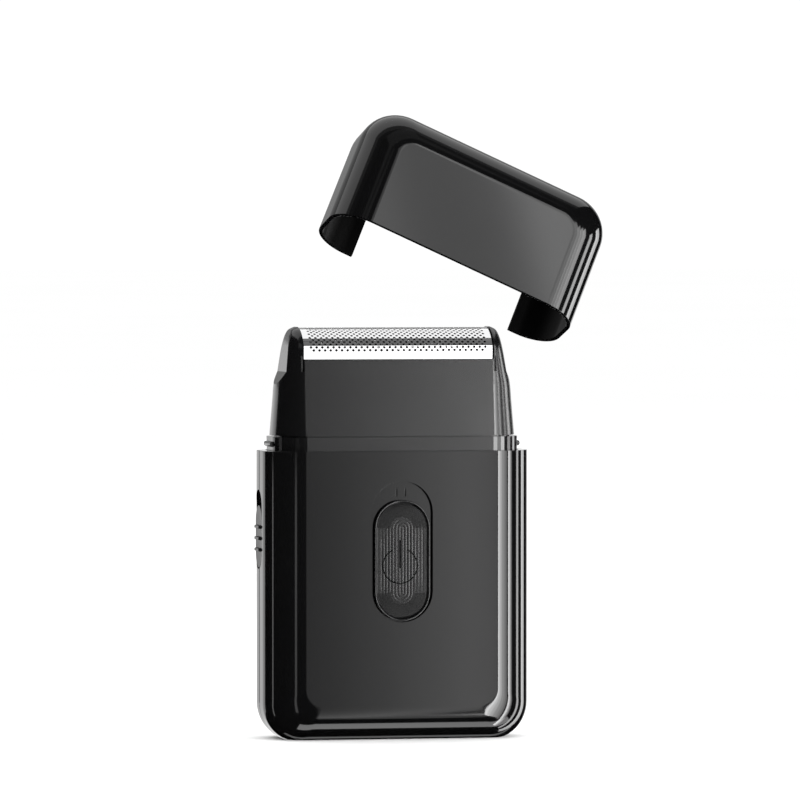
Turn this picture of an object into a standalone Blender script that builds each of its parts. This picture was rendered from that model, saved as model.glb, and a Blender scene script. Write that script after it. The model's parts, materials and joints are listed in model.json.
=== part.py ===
"""Compact battery shaver with a single foil head, a front slide switch and a protective cap.

Frame: metres, +Z up, origin at the centre of the flat foot. The front face looks along -Y, and +X is
to the right seen from the front. Sizes below are in millimetres and MM turns them into metres.
The cap is held off the shaver, tilted, as a hand takes it off; everything else is in its place.
"""

import math

import bmesh
import bpy
from mathutils import Matrix, Vector

MM = 0.001

# Housing: a flat box with one large fillet round its sides and foot
HALF_WIDTH = 32.0
HALF_DEPTH = 12.5
FILLET = 9.0
CORNER_MIDDLE = 9.3  # corner radius of the outline at the middle of the depth
CORNER_PANEL = 4.0  # corner radius of the flat front panel
SHOULDER_Z = 68.5  # the ledge that the cap's rim comes down to
WALL_SIDE = 2.1
WALL_FRONT = 1.6
WALL_FOOT = 1.8
FOOT_CUT = 0.8  # the fillet runs this far below the foot, which cuts it flat
SEAM_Y = 1.2  # the plane where the battery cover meets the front housing
SEAM_GAP = 0.3
FILLET_STEPS = 6

# Collar and deck of the chassis
COLLAR_HALF = (29.6, 10.6)
COLLAR_RADIUS = 7.1
COLLAR_TOP = 71.8
DECK_Z = 63.0
RIDGE_OUT = 30.3  # detent ridge that the cap snaps over
SCREW_X = 17.2  # the bridge retainer's two screws
SCREWS_Z = (11.0, 22.0)  # the two screws that hold the chassis to the front housing
PILOT_RADIUS = 0.95

# Power switch on the front
RECESS_HALF_WIDTH = 7.35
RECESS_Z = (28.0, 61.4)
RECESS_DEPTH = 1.3
KNOB_HALF_WIDTH = 6.65
KNOB_Z = (28.3, 56.95)
KNOB_PROUD = 0.3  # how far the knob stands out of the front panel
KNOB_RIM = 1.1
KNOB_DISH = 0.45

# Cover lock on the left side
LOCK_Y = 1.6
LOCK_RECESS_HALF = 4.2
LOCK_RECESS_Z = (40.3, 59.1)
LOCK_KNOB_HALF = 3.9
LOCK_KNOB_Z = (40.6, 55.4)
LOCK_RIBS_Z = (44.9, 47.6, 50.3)

# Drive train, all on the motor's axis
MOTOR_Y = 1.2
MOTOR_RADIUS = 10.0
MOTOR_HALF_DEPTH = 7.7
ECCENTRICITY = 1.2

# Two AA cells
CELL_RADIUS = 7.05
CELL_X = 18.9
CELL_Y = 1.0
CELL_BODY = 49.2
CELL_NUB = 1.2

# Shaving head
HEAD_Z = 72.1
HEAD_SECTIONS = (  # height, half width, half depth, corner radius
    (72.1, 29.3, 10.4, 7.0),
    (84.3, 28.35, 9.2, 7.0),
    (87.2, 27.55, 9.0, 6.8),
    (90.2, 26.9, 8.7, 6.4),
    (93.4, 26.2, 8.2, 5.8),
    (95.6, 25.7, 6.7, 4.8),
    (97.1, 24.95, 4.5, 3.1),
    (97.8, 23.6, 2.2, 1.6),
)
GRIP_OUTLINE = (  # half width and height of the finger grip cut into each side of the head
    (28.5, 84.0),
    (27.0, 87.2),
    (26.4, 90.2),
    (25.9, 93.4),
    (25.5, 95.6),
    (24.8, 97.1),
    (23.5, 97.9),
)
APRON_TOP = 90.2  # top edge of the head's front and rear walls
FOIL_HALF_LENGTH = 22.8
FOIL_HALF_DEPTH = 7.85
FOIL_SPRING_Z = 93.4  # where the arch of the foil starts
FOIL_TOP = 97.6
FOIL_SHEET = 0.25
CUTTER_HALF_LENGTH = 19.5
CUTTER_HALF_DEPTH = 6.9
CUTTER_TOP = 97.1
BLADES = 24

# Cap, and the swing that stands in for the hand that lifts it off
CAP_HEIGHT = 31.8
CAP_WALL = 1.0
CAP_SEAT_Z = 68.9
CAP_NOTCH_HALF = 21.0
CAP_NOTCH_HEIGHT = 14.0
CAP_AXIS = (0.6055, -0.7933, -0.0637)
CAP_PIVOT = (63.09, 48.84, 60.4)
CAP_SWING_DEG = 31.46

GAP = 0.3  # clearance between pieces that slide past each other
FAR = 2 * HALF_WIDTH  # well outside the housing, for the blocks that trim it
ROUND = 24  # sides of a round piece
SMALL_ROUND = 12  # sides of a screw hole


# ---------------------------------------------------------------- scene and materials


def clear_scene():
    for obj in list(bpy.data.objects):
        bpy.data.objects.remove(obj, do_unlink=True)


def new_collection(name, hidden=False):
    collection = bpy.data.collections.new(name)
    bpy.context.scene.collection.children.link(collection)
    collection.hide_render = hidden
    return collection


def new_material(name, colour, roughness, metallic=0.0):
    material = bpy.data.materials.new(name)
    material.use_nodes = True
    shader = material.node_tree.nodes["Principled BSDF"]
    shader.inputs["Base Color"].default_value = (*colour, 1.0)
    shader.inputs["Roughness"].default_value = roughness
    shader.inputs["Metallic"].default_value = metallic
    return material


clear_scene()
PARTS = new_collection("battery_shaver")
CUTTERS = new_collection("cutters", hidden=True)


# ---------------------------------------------------------------- shapes


def place(name, mesh, centre=(0, 0, 0)):
    """A new object of this mesh in the parts collection, with its origin at centre (mm)."""
    obj = bpy.data.objects.new(name, mesh)
    obj.location = Vector(centre) * MM
    PARTS.objects.link(obj)
    return obj


def finish_mesh(name, bm):
    bmesh.ops.recalc_face_normals(bm, faces=bm.faces)
    mesh = bpy.data.meshes.new(name)
    bm.to_mesh(mesh)
    bm.free()
    return mesh


def box(name, low, high, radius=0.0, axis="Z", steps=4):
    """A box between two corners, its four edges along axis rounded to radius."""
    low, high = Vector(low), Vector(high)
    size = (high - low) * MM
    bm = bmesh.new()
    bmesh.ops.create_cube(bm, size=1.0)
    bmesh.ops.scale(bm, vec=size, verts=bm.verts)
    if radius:
        along = "XYZ".index(axis)
        edges = [e for e in bm.edges if abs((e.verts[0].co - e.verts[1].co)[along]) > size[along] / 2]
        bmesh.ops.bevel(
            bm, geom=edges, offset=radius * MM, segments=steps, affect="EDGES", profile=0.5
        )
    return place(name, finish_mesh(name, bm), (low + high) / 2)


def drum(name, radius, start, end, centre=(0.0, 0.0), axis="Z", sides=ROUND):
    """A cylinder along axis from start to end, at centre in the other two axes."""
    bm = bmesh.new()
    bmesh.ops.create_cone(
        bm,
        cap_ends=True,
        segments=sides,
        radius1=radius * MM,
        radius2=radius * MM,
        depth=(end - start) * MM,
    )
    turn = {"X": Matrix.Rotation(math.pi / 2, 3, "Y"), "Y": Matrix.Rotation(math.pi / 2, 3, "X")}
    if axis in turn:
        bmesh.ops.rotate(bm, verts=bm.verts, matrix=turn[axis])
    middle = list(centre)
    middle.insert("XYZ".index(axis), (start + end) / 2)
    return place(name, finish_mesh(name, bm), middle)


def turned(name, profile, centre=(0.0, 0.0, 0.0), sides=ROUND):
    """A body of revolution about Z: the profile is (radius, height) from the top down."""
    mesh = bpy.data.meshes.new(name)
    points = [(radius * MM, 0.0, height * MM) for radius, height in profile]
    mesh.from_pydata(points, [(i, i + 1) for i in range(len(points) - 1)], [])
    obj = place(name, mesh, centre)
    lathe = obj.modifiers.new("Lathe", "SCREW")
    lathe.axis = "Z"
    lathe.steps = sides
    lathe.render_steps = sides
    lathe.use_merge_vertices = True
    lathe.merge_threshold = 1e-6
    return obj


def loft(name, rings, centre=(0, 0, 0)):
    """A closed solid through rings with equal numbers of points, capped at both ends."""
    bm = bmesh.new()
    made = [[bm.verts.new(Vector(point) * MM) for point in ring] for ring in rings]
    for below, above in zip(made, made[1:]):
        for i in range(len(below)):
            j = (i + 1) % len(below)
            bm.faces.new((below[i], below[j], above[j], above[i]))
    bm.faces.new(made[0])
    bm.faces.new(made[-1])
    return place(name, finish_mesh(name, bm), centre)


def tub(name, half_width, half_depth, fillet, corners, z_open, z_end, centre=(0, 0, 0)):
    """A filleted slab: flat front and back panels, one fillet round the sides and the closed end at
    z_end, and a flat face at z_open. corners is the outline's corner radius at the middle and panel.
    """
    side = math.copysign(1, z_end - z_open)
    middle, panel = corners
    turns = [math.pi / 2 * k / FILLET_STEPS for k in range(FILLET_STEPS + 1)]
    stations = [(half_depth - fillet + fillet * math.sin(a), fillet * (1 - math.cos(a))) for a in turns]
    stations = [(-y, inset) for y, inset in reversed(stations)] + stations
    rings = []
    for y, inset in stations:
        width = half_width - inset
        end = z_end - side * inset
        radius = middle + (panel - middle) * inset / fillet
        height = end - side * radius
        left = [
            (-width + radius - radius * math.cos(a), y, height + side * radius * math.sin(a)) for a in turns
        ]
        right = [(-x, y, z) for x, y, z in reversed(left)]
        rings.append([(-width, y, z_open), *left, *right, (width, y, z_open)])
    return loft(name, rings, centre)


def rounded_ring(half_width, half_depth, radius, z, steps=4):
    """The corner points of a rounded rectangle at height z, counter-clockwise."""
    points = []
    for quarter, (sx, sy) in enumerate(((1, 1), (-1, 1), (-1, -1), (1, -1))):
        for k in range(steps + 1):
            a = math.pi / 2 * (quarter + k / steps)
            x = sx * (half_width - radius) + radius * math.cos(a)
            y = sy * (half_depth - radius) + radius * math.sin(a)
            points.append((x, y, z))
    return points


def arch_outline(half_depth, z_base, z_spring, z_top, steps=10):
    """Points (y, z) of an upright strip with a flat circular arch on top."""
    rise = z_top - z_spring
    radius = (half_depth**2 + rise**2) / (2 * rise)
    lean = math.asin(half_depth / radius)
    arc = [lean * (1 - 2 * k / steps) for k in range(steps + 1)]
    over = [(radius * math.sin(a), z_top - radius + radius * math.cos(a)) for a in arc]
    return [(-half_depth, z_base), (half_depth, z_base), *over]


def arch_prism(name, half_length, outline):
    """The arch outline drawn out along X, from -half_length to half_length."""
    flat = bpy.data.curves.new(name, "CURVE")
    flat.dimensions = "2D"
    flat.fill_mode = "BOTH"
    flat.extrude = half_length * MM
    spline = flat.splines.new("POLY")
    spline.points.add(len(outline) - 1)
    for point, (y, z) in zip(spline.points, outline):
        point.co = (y * MM, z * MM, 0.0, 1.0)
    spline.use_cyclic_u = True
    drawn = bpy.data.objects.new(name + "_outline", flat)
    PARTS.objects.link(drawn)
    bpy.context.view_layer.update()
    graph = bpy.context.evaluated_depsgraph_get()
    mesh = bpy.data.meshes.new_from_object(drawn.evaluated_get(graph))
    bpy.data.objects.remove(drawn, do_unlink=True)
    bm = bmesh.new()
    bm.from_mesh(mesh)
    bpy.data.meshes.remove(mesh)
    bmesh.ops.remove_doubles(bm, verts=bm.verts, dist=1e-7)
    onto_yz = Matrix(((0, 0, 1), (1, 0, 0), (0, 1, 0)))
    bmesh.ops.transform(bm, matrix=onto_yz.to_4x4(), verts=bm.verts)
    return place(name, finish_mesh(name, bm))


def coil(name, radius, wire, start, end, turns, centre):
    """An upright compression spring of round wire, its ends at heights start and end."""
    curve = bpy.data.curves.new(name, "CURVE")
    curve.dimensions = "3D"
    curve.bevel_depth = wire / 2 * MM
    curve.bevel_resolution = 1
    curve.use_fill_caps = True
    spline = curve.splines.new("POLY")
    count = int(turns * 12)
    spline.points.add(count)
    rise = (end - start - wire) / count
    for k, point in enumerate(spline.points):
        a = 2 * math.pi * k / 12
        height = start + wire / 2 + rise * k
        point.co = (radius * math.cos(a) * MM, radius * math.sin(a) * MM, height * MM, 1.0)
    obj = bpy.data.objects.new(name, curve)
    obj.location = Vector((*centre, 0.0)) * MM
    PARTS.objects.link(obj)
    return obj


def combine(target, operation, *tools):
    """Boolean modifiers on target, one for each tool, which moves to the cutters collection."""
    for tool in tools:
        change = target.modifiers.new(tool.name, "BOOLEAN")
        change.operation = operation
        change.solver = "EXACT"
        change.object = tool
        PARTS.objects.unlink(tool)
        CUTTERS.objects.link(tool)
        tool.hide_render = True
        tool.display_type = "WIRE"


def cut(target, *tools):
    combine(target, "DIFFERENCE", *tools)


def join(target, *tools):
    combine(target, "UNION", *tools)


def paint(material, *objects):
    for obj in objects:
        obj.data.materials.clear()
        obj.data.materials.append(material)


def hang(name, pivot, objects, rotation=None):
    """An empty at the joint's pivot that carries the objects (and so the body) of that joint."""
    empty = bpy.data.objects.new(name, None)
    empty.location = Vector(pivot) * MM
    if rotation:
        empty.rotation_mode = "QUATERNION"
        empty.rotation_quaternion = rotation.to_quaternion()
    PARTS.objects.link(empty)
    for obj in objects:
        obj.parent = empty
        obj.location = obj.location - empty.location


# ---------------------------------------------------------------- housing


def shell(name):
    outer = tub(
        name,
        HALF_WIDTH,
        HALF_DEPTH,
        FILLET,
        (CORNER_MIDDLE, CORNER_PANEL),
        SHOULDER_Z,
        -FOOT_CUT,
    )
    cavity = tub(
        name + "_cavity",
        HALF_WIDTH - WALL_SIDE,
        HALF_DEPTH - WALL_FRONT,
        FILLET - WALL_FRONT,
        (CORNER_MIDDLE - WALL_SIDE, CORNER_PANEL - 1.0),
        SHOULDER_Z + 5.0,
        WALL_FOOT,
    )
    below = box(name + "_foot_trim", (-FAR, -FAR, -5.0), (FAR, FAR, 0.0))
    cut(outer, cavity, below)
    return outer


def lock_recess(name):
    """The long oval pocket of the cover lock, which crosses the seam."""
    return box(
        name,
        (-HALF_WIDTH - 2.0, LOCK_Y - LOCK_RECESS_HALF, LOCK_RECESS_Z[0]),
        (-HALF_WIDTH + 1.0, LOCK_Y + LOCK_RECESS_HALF, LOCK_RECESS_Z[1]),
        LOCK_RECESS_HALF - 0.02,
        "X",
        6,
    )


def front_housing(material):
    body = shell("front_housing")
    behind = box("front_trim", (-FAR, SEAM_Y - SEAM_GAP / 2, -5.0), (FAR, 30.0, 90.0))
    cut(body, behind)
    pad = box("switch_pad", (-9.0, -11.4, 26.0), (9.0, -10.2, 63.0), 3.0, "Y")
    bosses = [drum(f"housing_boss_{z}", 2.4, -11.4, -7.7, (0.0, z), "Y") for z in SCREWS_Z]
    join(body, pad, *bosses)
    recess = box(
        "switch_recess",
        (-RECESS_HALF_WIDTH, -HALF_DEPTH - 1.0, RECESS_Z[0]),
        (RECESS_HALF_WIDTH, -HALF_DEPTH + RECESS_DEPTH, RECESS_Z[1]),
        RECESS_HALF_WIDTH - 0.02,
        "Y",
        7,
    )
    slot = box("switch_slot", (-2.3, -12.0, 37.7), (2.3, -9.5, 50.8), 1.0, "Y")
    pilots = [
        drum(f"housing_pilot_{z}", PILOT_RADIUS, -10.9, -7.0, (0.0, z), "Y", SMALL_ROUND)
        for z in SCREWS_Z
    ]
    lock_slot = box("lock_slot", (-33.0, -1.9, 43.7), (-28.0, SEAM_Y + 2.0, 54.2))
    cut(body, recess, slot, *pilots, lock_recess("lock_recess_front"), lock_slot)
    paint(material, body)


def battery_cover(material):
    body = shell("battery_cover")
    ahead = box("cover_trim", (-FAR, -30.0, -5.0), (FAR, SEAM_Y + SEAM_GAP / 2, 90.0))
    cut(body, ahead)
    ribs = [
        box(f"cell_rib_{side}_{z}", (side * 19.0 - 6.5, 8.4, z), (side * 19.0 + 6.5, 11.4, z + 1.2))
        for side in (-1, 1)
        for z in (20.0, 45.0)
    ]
    tooth_root = box("lock_tooth_root", (-30.4, 6.6, 47.0), (-27.5, 8.4, 50.0))
    tooth = box("lock_tooth", (-28.6, 0.2, 47.0), (-27.5, 7.0, 50.0))
    join(body, *ribs, tooth_root, tooth)
    cut(body, lock_recess("lock_recess_cover"))
    paint(material, body)
    return [body]


# ---------------------------------------------------------------- chassis and power


def chassis(material):
    wide, deep = COLLAR_HALF
    body = box("chassis", (-wide, -deep, DECK_Z), (wide, deep, COLLAR_TOP), COLLAR_RADIUS, "Z", 12)
    pieces = []
    for side, tag in ((-1, "left"), (1, "right")):
        low, high = sorted((side * 28.0, side * RIDGE_OUT))
        pieces.append(box("detent_ridge_" + tag, (low, -4.0, 69.4), (high, 4.0, 70.7), 0.5, "Y", 2))
        low, high = sorted((side * 24.2, side * 25.8))
        pieces.append(box("head_clip_" + tag, (low, -3.0, 71.0), (high, 3.0, 76.5)))
        low, high = sorted((side * 10.9, side * 11.5))
        pieces.append(box("partition_" + tag, (low, -7.4, 4.2), (high, 8.0, DECK_Z + 0.5)))
        low, high = sorted((side * 11.2, side * 25.0))
        pieces.append(box("cell_web_" + tag, (low, -7.4, 4.2), (high, -6.6, DECK_Z + 0.5)))
    pieces.append(box("chassis_floor", (-25.0, -7.4, 4.2), (25.0, 7.4, 5.2)))
    pieces.append(box("lower_web", (-11.2, -7.4, 4.4), (11.2, -6.4, 27.0)))
    join(body, *pieces)
    pocket = box("bridge_pocket", (-15.4, -6.7, 62.0), (15.4, 6.7, 69.8), 1.5, "Z", 2)
    seat = box("retainer_seat", (-19.0, -7.4, 62.0), (19.0, 7.4, 64.8), 1.5, "Z", 2)
    boot_well = drum("boot_well", 6.6, 69.0, 73.0)
    bores = [
        drum(f"retainer_pilot_{x}", PILOT_RADIUS, 64.0, 68.5, (x, 0.0), "Z", SMALL_ROUND)
        for x in (-SCREW_X, SCREW_X)
    ]
    holes = [drum(f"chassis_hole_{z}", 1.2, -8.0, -6.0, (0.0, z), "Y", SMALL_ROUND) for z in SCREWS_Z]
    link_window = box("link_window", (-12.0, -4.4, 5.1), (12.0, 6.4, 6.3))
    cut(body, pocket, seat, boot_well, *bores, *holes, link_window)
    paint(material, body)


def cells(material):
    """Two AA cells, the right one upside down so that the link plate joins them in series."""
    for tag, x, z, tilt in (("left", -CELL_X, 8.6, 0.0), ("right", CELL_X, 56.6, math.pi)):
        profile = [
            (0.0, CELL_BODY + CELL_NUB),
            (2.7, CELL_BODY + CELL_NUB),
            (2.7, CELL_BODY),
            (CELL_RADIUS - 0.8, CELL_BODY),
            (CELL_RADIUS, CELL_BODY - 0.8),
            (CELL_RADIUS, 0.5),
            (CELL_RADIUS - 0.5, 0.0),
            (0.0, 0.0),
        ]
        cell = turned("battery_cell_" + tag, profile, (x, CELL_Y, z))
        cell.rotation_euler = (tilt, 0.0, 0.0)
        paint(material, cell)


def contacts(material):
    left_spring = coil("cell_spring_left", 3.4, 0.6, 6.1, 8.4, 3, (-CELL_X, CELL_Y))
    right_spring = coil("cell_spring_right", 3.4, 0.6, 56.8, 59.6, 3, (CELL_X, CELL_Y))
    link = box("series_link_plate", (-24.0, -4.0, 5.5), (24.0, 6.0, 5.8), 2.0, "Z", 3)
    plates = []
    for tag, x, z in (("left", -CELL_X, 59.3), ("right", CELL_X, 59.9)):
        plate = box("terminal_plate_" + tag, (x - 5.0, -6.2, z), (x + 5.0, 5.0, z + 0.3))
        tab = box("terminal_tab_" + tag, (x - 3.0, -6.2, z), (x + 3.0, -5.9, 62.7))
        join(plate, tab)
        plates.append(plate)
    paint(material, left_spring, right_spring, link, *plates)


# ---------------------------------------------------------------- motor and drive


def motor(can_material, plastic, steel):
    can = drum("motor_can", MOTOR_RADIUS, 34.0, 59.0, (0.0, MOTOR_Y), "Z", 32)
    slab = box(
        "motor_flats",
        (-12.0, MOTOR_Y - MOTOR_HALF_DEPTH, 33.0),
        (12.0, MOTOR_Y + MOTOR_HALF_DEPTH, 60.2),
    )
    boss = drum("motor_boss", 3.0, 58.5, 60.1, (0.0, MOTOR_Y))
    bore = drum("motor_bore", 1.15, 56.6, 61.0, (0.0, MOTOR_Y), "Z", 16)
    combine(can, "INTERSECT", slab)
    join(can, boss)
    cut(can, bore)
    paint(can_material, can)
    bell = drum("motor_end_bell", MOTOR_RADIUS - 0.1, 30.2, 33.7, (0.0, MOTOR_Y), "Z", 32)
    bell_slab = box(
        "bell_flats",
        (-12.0, MOTOR_Y - MOTOR_HALF_DEPTH + 0.1, 25.0),
        (12.0, MOTOR_Y + MOTOR_HALF_DEPTH - 0.1, 36.0),
    )
    combine(bell, "INTERSECT", bell_slab)
    tabs = [box(f"motor_tab_{x}", (x - 1.2, 0.9, 27.4), (x + 1.2, 1.5, 31.0)) for x in (-6.0, 6.0)]
    join(bell, *tabs)
    paint(plastic, bell)
    bracket = box("motor_bracket", (-10.6, -6.3, 60.4), (10.6, 8.7, 61.4), 1.0, "Z", 2)
    cut(bracket, drum("bracket_hole", 3.3, 60.0, 62.0, (0.0, MOTOR_Y)))
    paint(steel, bracket)
    shaft = drum("motor_shaft", 1.0, 57.0, 64.2, (0.0, MOTOR_Y), "Z", 16)
    paint(steel, shaft)
    wheel = drum("drive_eccentric", 3.0, 62.2, 64.8, (0.0, MOTOR_Y))
    crank_pin = drum("crank_pin", 0.9, 64.5, 67.5, (0.0, MOTOR_Y + ECCENTRICITY), "Z", 16)
    join(wheel, crank_pin)
    cut(wheel, drum("eccentric_bore", 1.1, 61.5, 64.45, (0.0, MOTOR_Y), "Z", 16))
    paint(plastic, wheel)
    return [shaft, wheel]


def drive_bridge(plastic, rubber):
    """The bridge turns the crank pin's circle into the cutter's straight stroke."""
    bridge = box("drive_bridge", (-13.6, -6.2, 65.2), (13.6, 6.2, 69.2), 1.5, "Z", 2)
    column = drum("drive_pin", 2.0, 68.8, 82.5)
    join(bridge, column)
    cut(bridge, box("crank_slot", (-3.4, MOTOR_Y - 2.5, 64.0), (3.4, MOTOR_Y + 2.5, 68.0)))
    paint(plastic, bridge)
    profile = [(2.2, 75.2), (3.0, 75.2), (3.4, 73.4), (5.1, 72.6), (5.1, 70.4), (2.2, 70.4), (2.2, 75.2)]
    boot = turned("pin_boot", profile)
    paint(rubber, boot)
    retainer = box("bridge_retainer", (-18.7, -7.1, 63.2), (18.7, 7.1, 64.6), 1.2, "Z", 2)
    holes = [
        drum(f"retainer_hole_{x}", 1.0, 62.0, 66.0, (x, 0.0), "Z", SMALL_ROUND)
        for x in (-SCREW_X, SCREW_X)
    ]
    cut(retainer, drum("retainer_window", 5.0, 62.0, 66.0, (0.0, MOTOR_Y)), *holes)
    paint(plastic, retainer)
    return [bridge, boot]


def screw(name, head_at, towards, steel):
    """A small pan-head screw whose head's outer face is at head_at."""
    profile = [(0.0, 0.0), (1.3, 0.0), (1.7, -0.5), (1.7, -1.0), (0.75, -1.0), (0.75, -4.2), (0.0, -4.6)]
    piece = turned(name, profile, head_at, 16)
    piece.rotation_euler = Vector((0, 0, -1)).rotation_difference(Vector(towards)).to_euler()
    paint(steel, piece)


def fasteners(steel):
    for number, x in enumerate((-SCREW_X, SCREW_X), 1):
        screw(f"retainer_screw_{number}", (x, 0.0, 61.9), (0, 0, 1), steel)
    for number, z in enumerate(SCREWS_Z, 1):
        screw(f"housing_screw_{number}", (0.0, -5.1, z), (0, -1, 0), steel)


# ---------------------------------------------------------------- switch and lock


def power_switch(knob_material, plastic, brass, board_material):
    front = -HALF_DEPTH - KNOB_PROUD
    floor = -HALF_DEPTH + RECESS_DEPTH
    radius = KNOB_HALF_WIDTH - 0.02
    knob = box(
        "power_knob",
        (-KNOB_HALF_WIDTH, front, KNOB_Z[0]),
        (KNOB_HALF_WIDTH, floor - 0.25, KNOB_Z[1]),
        radius,
        "Y",
        7,
    )
    dish = box(
        "knob_dish",
        (-KNOB_HALF_WIDTH + KNOB_RIM, front - 1.0, KNOB_Z[0] + KNOB_RIM),
        (KNOB_HALF_WIDTH - KNOB_RIM, front + KNOB_DISH, KNOB_Z[1] - KNOB_RIM),
        radius - KNOB_RIM,
        "Y",
        7,
    )
    stem = box("knob_stem", (-2.0, floor - 0.6, 38.0), (2.0, -9.4, 46.0))
    cut(knob, dish)
    join(knob, stem)
    paint(knob_material, knob)
    carriage = box("switch_carriage", (-6.0, -9.95, 34.0), (6.0, -9.25, 50.0), 1.0, "Y", 2)
    cut(carriage, box("carriage_window", (-2.3, -11.0, 37.7), (2.3, -8.0, 46.3)))
    paint(plastic, carriage)
    wiper = box("contact_wiper", (-4.0, -9.05, 35.5), (4.0, -8.8, 37.2))
    paint(brass, wiper)
    board = box("switch_board", (-9.6, -8.5, 29.0), (9.6, -7.7, 60.0), 0.8, "Y", 2)
    paint(board_material, board)
    return [knob, carriage, wiper]


def cover_lock(material):
    knob = box(
        "lock_knob",
        (-31.95, LOCK_Y - LOCK_KNOB_HALF, LOCK_KNOB_Z[0]),
        (-31.2, LOCK_Y + LOCK_KNOB_HALF, LOCK_KNOB_Z[1]),
        LOCK_KNOB_HALF - 0.02,
        "X",
        6,
    )
    ribs = [
        box(f"lock_rib_{z}", (-32.55, LOCK_Y - 2.6, z - 0.4), (-31.6, LOCK_Y + 2.6, z + 0.4))
        for z in LOCK_RIBS_Z
    ]
    stem = box("lock_stem", (-31.5, -1.6, 44.0), (-28.9, 0.8, 50.4))
    hook = box("lock_hook", (-29.6, -2.2, 44.0), (-28.9, 3.0, 50.4))
    join(knob, *ribs, stem, hook)
    paint(material, knob)
    return [knob]


# ---------------------------------------------------------------- head


def grip(side):
    """The block that leaves a flat finger grip, with a ramp below it, on one side of the head."""
    beyond = HALF_WIDTH
    top = HEAD_SECTIONS[-1][0] + 1.0
    outline = [(beyond, GRIP_OUTLINE[0][1]), *GRIP_OUTLINE, (GRIP_OUTLINE[-1][0], top), (beyond, top)]
    rings = [[(side * x, y, z) for x, z in outline] for y in (-HALF_DEPTH, HALF_DEPTH)]
    return loft(f"grip_{side}", rings)


def head_frame(material):
    rings = [rounded_ring(w, d, r, z - HEAD_Z) for z, w, d, r in HEAD_SECTIONS]
    body = loft("head_frame", rings, (0, 0, HEAD_Z))
    hollow = box("head_hollow", (-26.4, -8.3, 70.0), (26.4, 8.3, 82.5), 3.0, "Z", 3)
    length = FOIL_HALF_LENGTH + GAP
    depth = FOIL_HALF_DEPTH + GAP
    foil_slot = box("foil_slot", (-length, -depth, 80.0), (length, depth, 100.0))
    open_top = box("open_top", (-length, -15.0, APRON_TOP), (length, 15.0, 100.0))
    grips = [grip(side) for side in (-1, 1)]
    slits = [
        box(f"slit_{x}_{y}", (x - 0.35, y - 1.2, 87.3), (x + 0.35, y + 1.2, 91.0))
        for x in (-23.25, 23.25)
        for y in (-9.3, 9.3)
    ]
    cut(body, hollow, foil_slot, open_top, *grips, *slits)
    paint(material, body)
    return [body]


def foil_unit(steel, plastic):
    outer = arch_outline(FOIL_HALF_DEPTH, 84.0, FOIL_SPRING_Z, FOIL_TOP, 16)
    inner = arch_outline(
        FOIL_HALF_DEPTH - FOIL_SHEET, 83.0, FOIL_SPRING_Z, FOIL_TOP - FOIL_SHEET, 16
    )
    foil = arch_prism("foil", FOIL_HALF_LENGTH, outer)
    cut(foil, arch_prism("foil_inside", FOIL_HALF_LENGTH + 2.0, inner))
    paint(steel, foil)
    ends = arch_outline(7.4, 83.2, FOIL_SPRING_Z, 97.1, 12)
    carrier = arch_prism("foil_carrier", 22.6, ends)
    bay = box("carrier_bay", (-21.3, -7.05, 80.0), (21.3, 7.05, 100.0))
    over = box("carrier_over", (-21.3, -9.0, 86.5), (21.3, 9.0, 100.0))
    cut(carrier, bay, over)
    paint(plastic, carrier)
    return [foil, carrier]


def cutter(steel, plastic):
    outline = arch_outline(CUTTER_HALF_DEPTH, 87.5, FOIL_SPRING_Z - 0.2, CUTTER_TOP, 12)
    block = arch_prism("cutter_block", CUTTER_HALF_LENGTH, outline)
    pitch = 2 * CUTTER_HALF_LENGTH / BLADES
    slots = [
        box(
            f"blade_gap_{k + 1}",
            (-CUTTER_HALF_LENGTH + pitch * (k + 0.66), -9.0, 90.4),
            (-CUTTER_HALF_LENGTH + pitch * (k + 1.34), 9.0, 99.0),
        )
        for k in range(BLADES - 1)
    ]
    inner = arch_outline(CUTTER_HALF_DEPTH - 1.0, 86.0, FOIL_SPRING_Z - 0.2, CUTTER_TOP - 1.0, 12)
    cut(block, *slots, arch_prism("blade_hollow", CUTTER_HALF_LENGTH - 0.6, inner))
    paint(steel, block)
    holder = box("cutter_holder", (-17.0, -6.5, 79.3), (17.0, 6.5, 87.2), 2.0, "Z", 3)
    cut(holder, drum("holder_bore", 4.0, 78.0, 84.8))
    paint(plastic, holder)
    return [block, holder]


def cutter_spring(steel):
    spring = coil("cutter_spring", 2.9, 0.45, 75.6, 82.9, 5, (0.0, 0.0))
    paint(steel, spring)
    return [spring]


# ---------------------------------------------------------------- cap


def cap(material):
    """Modelled seated on the shoulder, then carried off by the swing's empty."""
    outer = tub(
        "cap",
        HALF_WIDTH,
        HALF_DEPTH,
        FILLET,
        (CORNER_MIDDLE, CORNER_PANEL),
        0.0,
        CAP_HEIGHT,
        (0, 0, CAP_SEAT_Z),
    )
    hollow = tub(
        "cap_hollow",
        HALF_WIDTH - CAP_WALL,
        HALF_DEPTH - CAP_WALL,
        FILLET - CAP_WALL,
        (CORNER_MIDDLE - CAP_WALL, CORNER_PANEL - 1.0),
        -2.0,
        CAP_HEIGHT - CAP_WALL,
        (0, 0, CAP_SEAT_Z),
    )
    base = CAP_SEAT_Z
    notch = box(
        "cap_notch",
        (-CAP_NOTCH_HALF, 8.0, base - 6.0),
        (CAP_NOTCH_HALF, 16.0, base + CAP_NOTCH_HEIGHT),
        2.0,
        "Y",
        3,
    )
    cut(outer, hollow, notch)
    paint(material, outer)
    return [outer, hollow, notch]


# ---------------------------------------------------------------- the whole object


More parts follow.
